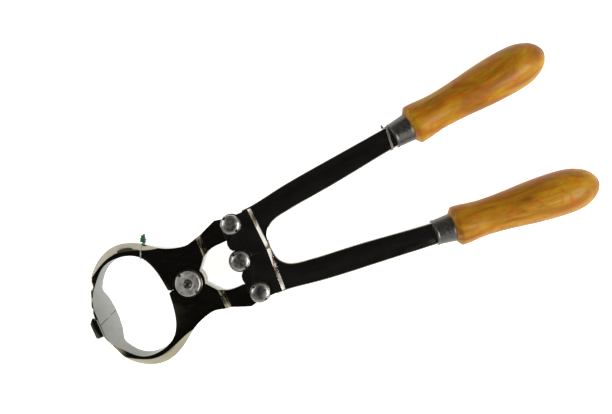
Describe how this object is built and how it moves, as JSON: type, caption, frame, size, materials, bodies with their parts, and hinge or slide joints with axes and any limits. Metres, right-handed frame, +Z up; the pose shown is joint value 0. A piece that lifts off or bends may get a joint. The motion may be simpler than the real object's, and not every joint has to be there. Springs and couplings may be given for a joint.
{
  "type": "bloodless castrating pincers",
  "caption": "Long-handled bloodless castrating pincers: curved blunt-bladed steel jaws closed by a toggle linkage, with wooden grips.",
  "frame": {"origin": "middle of the tool's outline on the plane it rests on, lying flat and closed", "axes": "+X from the jaws towards the grips, +Y across the tool towards the upper handle, +Z up along the pivots, nuts on top"},
  "size_m": [0.4764, 0.167, 0.0576],
  "materials": {
    "polished_steel": "mirror polished and plated forged steel, ground satin on the blades' inner faces",
    "turned_steel": "turned and polished steel",
    "dark_steel": "dark satin steel",
    "varnished_wood": "turned hardwood under glossy orange-brown varnish",
    "green_plastic": "plastic-coated tie wire",
    "bare_wire": "soft iron tie wire"
  },
  "bodies": {
    "main_pivot": {"main_pivot_bolt": "turned_steel", "main_pivot_washer": "turned_steel", "main_pivot_nut": "turned_steel"},
    "upper_jaw_body": {"upper_jaw": "polished_steel", "jaw_tie": "green_plastic"},
    "lower_jaw_body": {"lower_jaw": "polished_steel"},
    "centre_pivot": {"centre_pivot_bolt": "turned_steel", "centre_pivot_washer": "turned_steel", "centre_pivot_nut": "turned_steel"},
    "upper_handle": {"upper_lever": "polished_steel", "upper_link_bolt": "turned_steel", "upper_link_washer": "turned_steel", "upper_link_nut": "turned_steel", "upper_ferrule": "dark_steel", "upper_grip": "varnished_wood", "upper_butt_washer": "turned_steel", "shank_tie": "bare_wire"},
    "lower_handle": {"lower_lever": "polished_steel", "lower_link_bolt": "turned_steel", "lower_link_washer": "turned_steel", "lower_link_nut": "turned_steel", "lower_ferrule": "dark_steel", "lower_grip": "varnished_wood", "lower_butt_washer": "turned_steel"}
  },
  "joints": [
    {"name": "centre_pivot_slide", "type": "slide", "parent": "main_pivot", "child": "centre_pivot", "axis": [1, 0, 0], "range_m": [0, 0.032]},
    {"name": "upper_handle_fold", "type": "hinge", "parent": "centre_pivot", "child": "upper_handle", "pos_m": [-0.09739, 0, 0.0288], "axis": [0, 0, 1], "range_deg": [0, 50]},
    {"name": "lower_handle_fold", "type": "hinge", "parent": "centre_pivot", "child": "lower_handle", "pos_m": [-0.09739, 0, 0.0288], "axis": [0, 0, 1], "range_deg": [-50, 0]},
    {"name": "upper_jaw_turn", "type": "hinge", "parent": "main_pivot", "child": "upper_jaw_body", "pos_m": [-0.14839, 0, 0.0288], "axis": [0, 0, 1], "range_deg": [-8.2, 0]},
    {"name": "lower_jaw_turn", "type": "hinge", "parent": "main_pivot", "child": "lower_jaw_body", "pos_m": [-0.14839, 0, 0.0288], "axis": [0, 0, 1], "range_deg": [0, 8.2]}
  ],
  "couplings": [
    {"joint": "lower_handle_fold", "follows": "upper_handle_fold", "ratio": -1},
    {"joint": "upper_jaw_turn", "follows": "upper_handle_fold", "ratio": -0.1589},
    {"joint": "lower_jaw_turn", "follows": "upper_handle_fold", "ratio": 0.1589},
    {"joint": "centre_pivot_slide", "follows": "upper_handle_fold", "m_per_rad": 0.03653}
  ]
}
